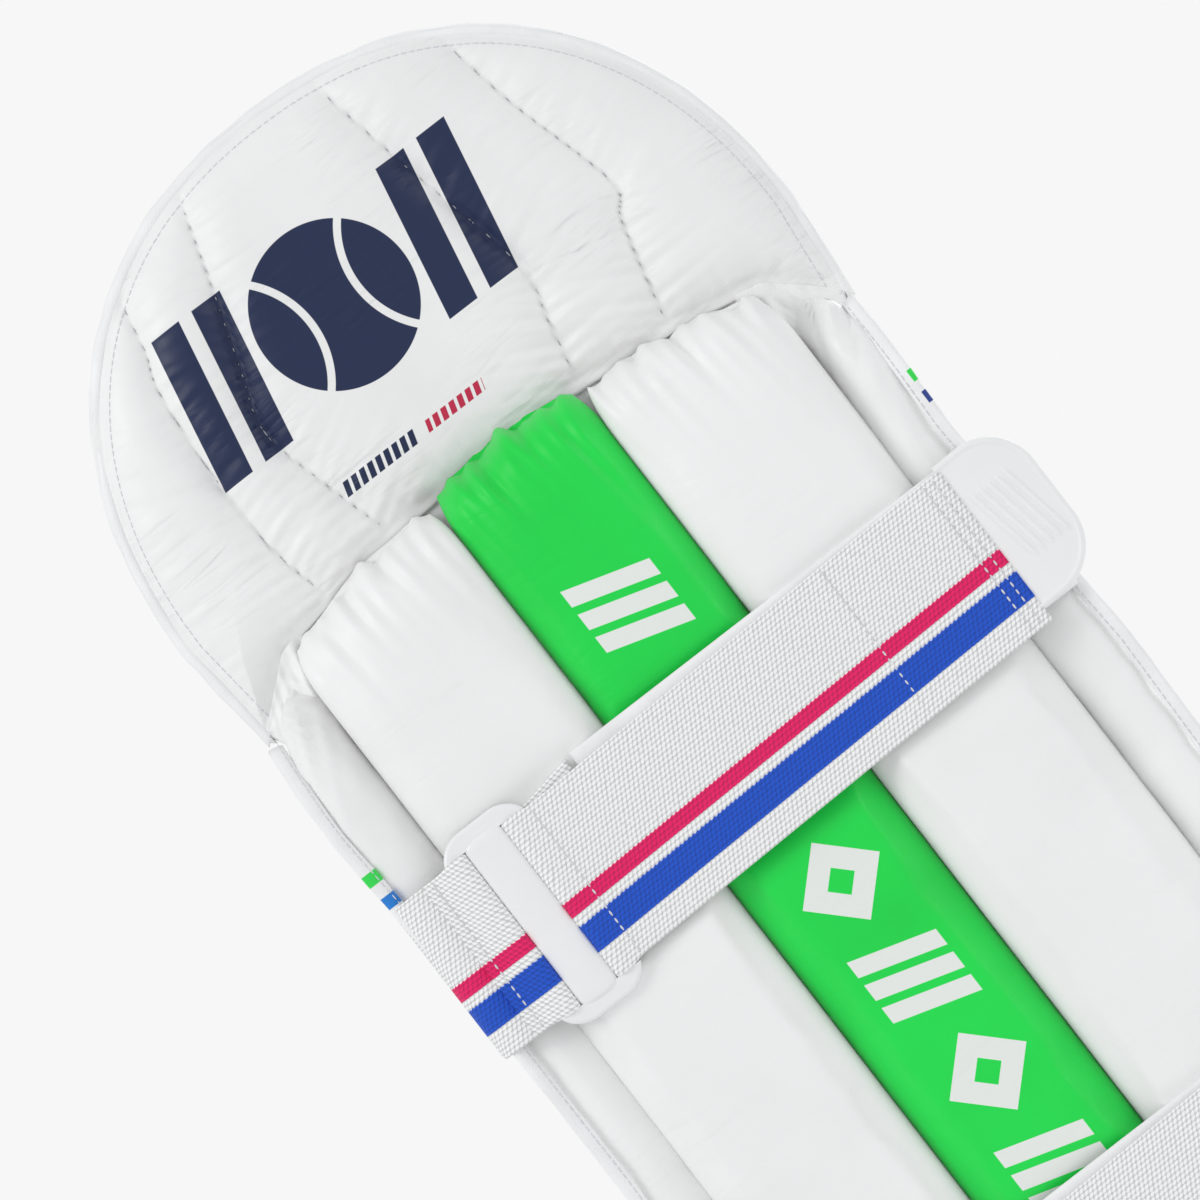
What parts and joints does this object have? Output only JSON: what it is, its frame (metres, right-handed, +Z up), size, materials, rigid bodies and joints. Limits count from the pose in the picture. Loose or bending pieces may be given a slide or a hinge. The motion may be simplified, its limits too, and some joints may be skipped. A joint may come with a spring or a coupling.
{
  "type": "cricket leg pad",
  "caption": "Batting leg pad with a ribbed shin, knee rolls, a flexing top flap, rear cushions, side wings and straps that close through moulded rings.",
  "frame": {"origin": "the leg mount: on the pad's centre line, level with its bottom end, just behind the shin's lining", "axes": "+Z up the leg, -Y the outside of the pad, +Y towards the wearer's leg, +X the wearer's left"},
  "size_m": [0.2786, 0.0915, 0.71],
  "materials": {
    "white_skin": "satin",
    "green_skin": "satin",
    "foam": "matte",
    "board": "matte",
    "cane": "matte",
    "binding_tape": "matte",
    "lining_cloth": "matte",
    "ring_plastic": "satin",
    "tab_rubber": "satin",
    "hook_tape": "matte",
    "loop_band": "matte",
    "webbing": "matte"
  },
  "bodies": {
    "leg_guard": {"shin_face_cover": "white_skin", "shin_rib_foam": "foam", "shin_cane_rods": "cane", "shin_core_board": "board", "shin_core_foam": "foam", "body_lining": "lining_cloth", "hat_hinge_strip": "binding_tape", "left_side_binding": "binding_tape", "right_side_binding": "binding_tape", "knee_roll_lower_cover": "white_skin", "knee_roll_middle_cover": "white_skin", "knee_roll_upper_cover": "white_skin", "knee_roll_lower_foam": "foam", "knee_roll_middle_foam": "foam", "knee_roll_upper_foam": "foam", "instep_cover": "white_skin", "instep_foam": "foam", "left_bolster_cover": "white_skin", "centre_bolster_cover": "green_skin", "right_bolster_cover": "white_skin", "left_bolster_foam": "foam", "centre_bolster_foam": "foam", "right_bolster_foam": "foam", "upper_band": "loop_band", "lower_band": "loop_band"},
    "top_hat": {"top_hat_front_cover": "white_skin", "top_hat_board": "board", "top_hat_foam": "foam", "top_hat_lining": "white_skin", "top_hat_binding": "binding_tape"},
    "left_wing": {"left_wing_cover": "white_skin", "left_wing_foam": "foam", "left_wing_binding": "binding_tape", "upper_anchor_webbing": "webbing", "lower_anchor_webbing": "webbing"},
    "right_wing": {"right_wing_cover": "white_skin", "right_wing_foam": "foam", "right_wing_binding": "binding_tape", "upper_band_root": "loop_band", "lower_band_root": "loop_band"},
    "upper_ring": {"upper_strap_ring": "ring_plastic"},
    "lower_ring": {"lower_strap_ring": "ring_plastic"},
    "upper_tail": {"upper_strap_webbing": "webbing", "upper_hook_patch": "hook_tape", "upper_pull_tab": "tab_rubber"},
    "lower_tail": {"lower_strap_webbing": "webbing", "lower_hook_patch": "hook_tape", "lower_pull_tab": "tab_rubber"}
  },
  "joints": [
    {"name": "top_hat_flex", "type": "hinge", "parent": "leg_guard", "child": "top_hat", "pos_m": [0, -0.008, 0.556], "axis": [1, 0, 0], "range_deg": [-15, 30], "stiffness_Nm_per_rad": 1.5},
    {"name": "left_wing_flex", "type": "hinge", "parent": "leg_guard", "child": "left_wing", "pos_m": [0.112, -0.0085, 0.3], "axis": [0, 0, -1], "range_deg": [0, 12], "stiffness_Nm_per_rad": 0.4},
    {"name": "right_wing_flex", "type": "hinge", "parent": "leg_guard", "child": "right_wing", "pos_m": [-0.112, -0.0085, 0.3], "axis": [0, 0, 1], "range_deg": [0, 12], "stiffness_Nm_per_rad": 0.4},
    {"name": "upper_ring_tilt", "type": "hinge", "parent": "left_wing", "child": "upper_ring", "pos_m": [0.1021, 0.03335, 0.423], "axis": [0, 0, -1], "range_deg": [0, 60]},
    {"name": "upper_strap_peel", "type": "hinge", "parent": "upper_ring", "child": "upper_tail", "pos_m": [0.0785, 0.03335, 0.423], "axis": [0, 0, -1], "range_deg": [0, 105]},
    {"name": "lower_ring_tilt", "type": "hinge", "parent": "left_wing", "child": "lower_ring", "pos_m": [0.1021, 0.03335, 0.198], "axis": [0, 0, -1], "range_deg": [0, 60]},
    {"name": "lower_strap_peel", "type": "hinge", "parent": "lower_ring", "child": "lower_tail", "pos_m": [0.0785, 0.03335, 0.198], "axis": [0, 0, -1], "range_deg": [0, 105]}
  ]
}
